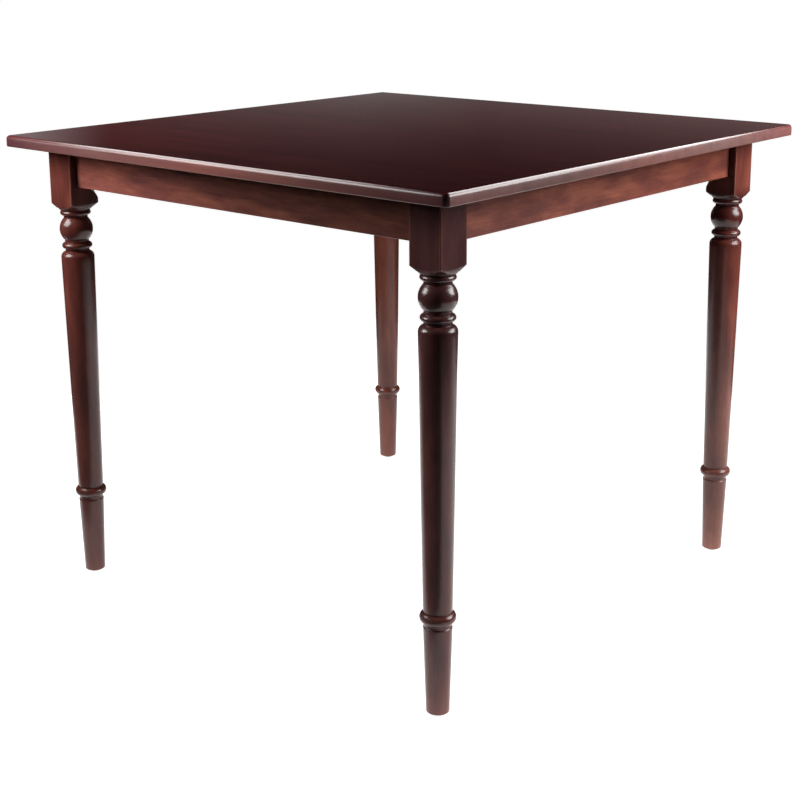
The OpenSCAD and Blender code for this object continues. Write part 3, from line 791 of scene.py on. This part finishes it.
def fromInnerCorner(angle):
    # Angle from the inner corner, which is at an eighth of a turn
    return np.abs((angle - quarterTurn / 2 + np.pi) % (2 * np.pi) - np.pi)


def chamferCut(spec, z):
    # Distance from the axis to the chamfer: even down to chamferFoot, then growing to that of the corner
    corner = spec["blockHalf"] * np.sqrt(2)
    share = np.clip((spec["chamferFoot"] - z) / spec["runout"], 0, 1)
    return spec["chamfer"] + (corner - spec["chamfer"]) * share


def legColumns(spec, divide, z, radius, cut):
    # Angles of each row's points. Each eighth of the round has its flat share and its corner share, and the
    # line between them lies on the edge where flat face and cone, or flat face and chamfer, meet
    half = spec["blockHalf"]
    corner = np.arctan((half - spec["blockRound"]) / half)
    edge = np.clip(np.arccos(half / np.maximum(radius, half)), np.radians(divide["leastFlat"]), corner)
    cutEdge = np.arctan((np.sqrt(2) * cut - half) / half)
    aboveTip = z > spec["chamferFoot"] - spec["runout"]
    inner = np.minimum(edge, np.where(aboveTip, cutEdge, np.pi))
    flat, rest = np.array(divide["flatShares"]), np.array(divide["cornerShares"])
    angles = []
    for k in range(8):
        line = (inner if k in (0, 1) else edge)[:, None]
        part = np.concatenate([line * flat, line + (quarterTurn / 2 - line) * rest], 1)
        if k % 2 == 0:
            angles.append(k * quarterTurn / 2 + part[:, :-1])
        else:
            angles.append(((k + 1) * quarterTurn / 2 - part)[:, ::-1][:, :-1])
    return np.concatenate(angles, 1)


def legDistances(spec, angle, radius, cut):
    # Distance from the axis by angle and row: the least of those to the rounded square of the block, to the
    # chamfer, and to the turning
    half, bend, outside = spec["blockHalf"], spec["blockRound"], spec["outside"]
    fold = fromFace(angle)
    side = half / np.cos(fold)
    centre = (half - bend) * np.sqrt(2)
    off = quarterTurn / 2 - fold
    rounding = centre * np.cos(off) + np.sqrt(np.maximum(bend ** 2 - (centre * np.sin(off)) ** 2, 0))
    square = np.where(fold > np.arctan((half - bend) / half), rounding, side)
    inner, reach = fromInnerCorner(angle), spec["chamferReach"]
    chamfer = np.where(inner < reach, cut[:, None] / np.cos(np.minimum(inner, reach)), outside)
    chamfer = np.where(cut[:, None] < half * np.sqrt(2), chamfer, outside)
    block = softMin(square, chamfer, spec["blockSoft"])
    rho = softMin(block, radius[:, None] * np.ones_like(block), spec["shoulderSoft"])
    rho[0] = 0.0
    rho[-1] = 0.0
    return rho


def legWearAndShade(spec, angle, z, radius, rowWear):
    # Each row's own, then the upright edges of the block, and painted shade in the narrow strips beside the
    # two aprons
    half, bend = spec["blockHalf"], spec["blockRound"]
    start, width = spec["edgeWear"]
    pastCorner = fromFace(angle) - np.arctan((half - bend) / half)
    onEdge = np.clip((pastCorner - start) / width, 0, 1) * (radius[:, None] > spec["edgeWearFrom"])
    wear = np.maximum(rowWear[:, None] * np.ones_like(angle), onEdge)
    # Painted shade: the strips are set to -1, the darkest mark
    shadeStripAt, shadeStripHalf = np.radians(spec["strip"])
    inShadeStrip = np.abs(fromInnerCorner(angle) - shadeStripAt) < shadeStripHalf
    return np.where(inShadeStrip & (z[:, None] > spec["chamferFoot"]), -1.0, wear)


def makeLegMesh(name, spec, divide, axis, top, quarter):
    # Rows of the block above those of the turning. Each point is worked out by angle and height, with the
    # first flat face towards +X and the inner corner after it, until quarter turns the leg into its place
    turning, turningWear = legRows(spec, divide)
    foot = spec["chamferFoot"]
    blockZ = np.concatenate([
        [top, top],
        np.linspace(top - divide["endGap"], foot + divide["chamferGap"], divide["blockRows"]),
        np.linspace(foot, foot - spec["runout"], divide["runoutRows"] + 1),
        [turning[0, 1] + divide["shoulderGap"]],
    ])
    z = np.concatenate([blockZ, turning[:, 1]])
    radius = np.concatenate([np.full(len(blockZ), spec["outside"]), turning[:, 0]])
    radius[0] = 0.0  # closes the upper end
    cut = chamferCut(spec, z)
    angle = legColumns(spec, divide, z, radius, cut)
    rho = legDistances(spec, angle, radius, cut)
    wear = legWearAndShade(spec, angle, z, radius, np.concatenate([np.zeros(len(blockZ)), turningWear]))
    heading = angle + quarter * quarterTurn
    points = np.stack([axis[0] + rho * np.cos(heading) * mm, axis[1] + rho * np.sin(heading) * mm,
                       z[:, None] * np.ones_like(rho) * mm], -1)
    mesh = buildMesh(name, points.reshape(-1, 3), tubeQuads(*rho.shape), {"wear": wear.ravel()})
    closeMesh(mesh)
    return mesh


# Legs from the front left anticlockwise, each with painted light and shade: factors of its colour at shares
# of the way up, the foot and the top first; the back right one has a painted dark band on its ball and collar
legPaintedShades = {
    "front_left_leg": [
        (0.0, (0.55, 0.40, 0.37)), (1.0, (0.88, 0.72, 0.72)),
        (0.35, (0.57, 0.43, 0.42)), (0.8, (0.82, 0.66, 0.66))],
    "front_right_leg": [
        (0.0, (0.78, 0.76, 0.84)), (1.0, (0.42, 0.48, 0.64)),
        (0.3, (0.74, 0.68, 0.70)), (0.8, (0.47, 0.51, 0.66))],
    "back_right_leg": [
        (0.0, (1.55, 1.80, 1.70)), (1.0, (1.10, 0.95, 0.90)),
        (0.74, (0.96, 0.78, 0.76)), (0.83, (0.50, 0.32, 0.34)), (0.90, (0.50, 0.32, 0.34)),
        (0.93, (1.10, 0.95, 0.90))],
    "back_left_leg": [(0.0, (0.98, 0.82, 0.72)), (1.0, (1.08, 0.94, 0.76))],
}
# Up the leg, and the heights between which its painted shades run
legWay = ((0.0, 0.0, 1.0), 0.0, 0.7)

# Where the first board of a kind is cut in the pattern, where its pith is, and the steps to the next board
legBoards = {"shift": (0.0, 0.11, 0.3), "nextShift": (0.37, 1.0, 0.0),
             "pith": (0.35, 0.1), "nextPith": (0.4, 0.0)}
apronBoards = {"shift": (0.0, 0.0, 0.0), "nextShift": (0.7, 1.3, 0.17),
               "pith": (0.22, 0.6), "nextPith": (0.0, 0.2)}


def cutBoard(boards, number):
    shift = tuple(first + number * step for first, step in zip(boards["shift"], boards["nextShift"]))
    pith = tuple(first + number * step for first, step in zip(boards["pith"], boards["nextPith"]))
    return shift, pith


for quarter, (node, tints) in enumerate(legPaintedShades.items()):
    low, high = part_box(node)
    axis = ((low.x + high.x) / 2, (low.y + high.y) / 2)
    word = node.replace("_leg", "").title().replace("_", "")
    wood = stainedWood("stainedLegWood" + word, legStain, (0, quarterTurn, 0), *cutBoard(legBoards, quarter),
                       (*legWay, tints))
    legMesh = makeLegMesh("turnedLeg" + word, leg, legGrid, axis, high.z / mm, quarter)
    addPiece("turnedLeg" + word, legMesh, wood, node)
    print(node, "has", len(legMesh.polygons), "faces")


# Aprons keep their CAD shape. Each board has its own grain, along its length, and painted light and shade:
# factors of its colour at shares of the way between two places, counted from its middle, from left to right
# as seen from outside
aprons = {
    "front_apron": {"way": (1, 0, 0), "turn": 0.0, "from": -0.36, "to": 0.15, "tints": [
        (0.0, (2.00, 2.05, 2.15)), (1.0, (0.80, 0.90, 0.90)),
        (0.25, (1.80, 1.86, 1.95)), (0.75, (1.00, 1.10, 1.10))]},
    "right_apron": {"way": (0, 1, 0), "turn": quarterTurn, "from": -0.36, "to": 0.36, "tints": [
        (0.0, (1.40, 1.65, 1.75)), (1.0, (1.10, 1.05, 1.00))]},
    "back_apron": {"way": (-1, 0, 0), "turn": 0.0, "from": -0.36, "to": 0.36, "tints": [
        (0.0, (1.0, 1.0, 1.0)), (1.0, (0.9, 0.9, 0.9))]},
    "left_apron": {"way": (0, -1, 0), "turn": quarterTurn, "from": -0.36, "to": 0.36, "tints": [
        (0.0, (0.9, 0.9, 0.9)), (1.0, (1.0, 1.0, 1.0))]},
}
for number, (node, spec) in enumerate(aprons.items()):
    wood = stainedWood("stainedApronWood" + str(number), apronStain, (0, 0, spec["turn"]),
                       *cutBoard(apronBoards, number), (spec["way"], spec["from"], spec["to"], spec["tints"]))
    finishNode(node, wood)
print("aprons:", len(aprons), "boards")


# Plain wood of the corner blocks and cleats, sawn and left raw: pale straw, faintly streaked, with a dry
# surface
plain = {"pale": "c9a67a", "dark": "9a744c", "streakMm": (60.0, 1.6), "detail": 3.0, "bumpMm": 0.1,
         "roughness": 0.72}
# Steel, threaded or pressed, then bright zinc plated: a pale metal with a slightly cloudy surface
zinc = {"light": "c4c6c8", "dark": "94989c", "grainMm": 1.5, "detail": 2.0, "roughness": 0.34}
# Nylon, moulded dark: an even dull plastic with a fine grain
nylon = {"colour": "2a2422", "grainMm": 0.8, "bumpMm": 0.02, "roughness": 0.5}


def plainWood(look):
    material, tree = newMaterial("sawnPlainWood")
    place = addNode(tree, "ShaderNodeTexCoord").outputs["Object"]
    streaks = addNode(tree, "ShaderNodeVectorMath", {0: place, 1: perPattern(*look["streakMm"])},
                      operation="MULTIPLY")
    fibre = addNode(tree, "ShaderNodeTexNoise", {"Vector": streaks, "Scale": 1.0, "Detail": look["detail"]})
    colour = addNode(tree, "ShaderNodeMix", {
        "Factor": fibre, "A": srgb(look["pale"]), "B": srgb(look["dark"])}, data_type="RGBA")
    bump = addNode(tree, "ShaderNodeBump", {"Height": fibre, "Distance": look["bumpMm"] * mm})
    wood = addNode(tree, "ShaderNodeBsdfPrincipled", {"Base Color": colour, "Roughness": look["roughness"],
                                                      "Normal": bump})
    addNode(tree, "ShaderNodeOutputMaterial", {"Surface": wood})
    return material


def zincSteel(look):
    material, tree = newMaterial("zincPlatedSteel")
    place = addNode(tree, "ShaderNodeTexCoord").outputs["Object"]
    cloud = addNode(tree, "ShaderNodeTexNoise", {"Vector": place, "Scale": 1 / (look["grainMm"] * mm),
                                                 "Detail": look["detail"]})
    colour = addNode(tree, "ShaderNodeMix", {
        "Factor": cloud, "A": srgb(look["light"]), "B": srgb(look["dark"])}, data_type="RGBA")
    metal = addNode(tree, "ShaderNodeBsdfPrincipled", {"Base Color": colour, "Metallic": 1.0,
                                                       "Roughness": look["roughness"]})
    addNode(tree, "ShaderNodeOutputMaterial", {"Surface": metal})
    return material


def mouldedNylon(look):
    material, tree = newMaterial("mouldedNylon")
    place = addNode(tree, "ShaderNodeTexCoord").outputs["Object"]
    grain = addNode(tree, "ShaderNodeTexNoise", {"Vector": place, "Scale": 1 / (look["grainMm"] * mm)})
    bump = addNode(tree, "ShaderNodeBump", {"Height": grain, "Distance": look["bumpMm"] * mm})
    plastic = addNode(tree, "ShaderNodeBsdfPrincipled", {
        "Base Color": srgb(look["colour"]), "Roughness": look["roughness"], "Normal": bump})
    addNode(tree, "ShaderNodeOutputMaterial", {"Surface": plastic})
    return material


# Finishes of the other CAD nodes, by how their names end
finishes = [
    (plainWood(plain), ("corner_block", "cleat")),
    (zincSteel(zinc), ("bolts", "washers", "nuts", "screws", "nails")),
    (mouldedNylon(nylon), ("glide",)),
]
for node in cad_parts:
    for material, endings in finishes:
        if node.endswith(endings):
            finishNode(node, material)
print("finishes set")
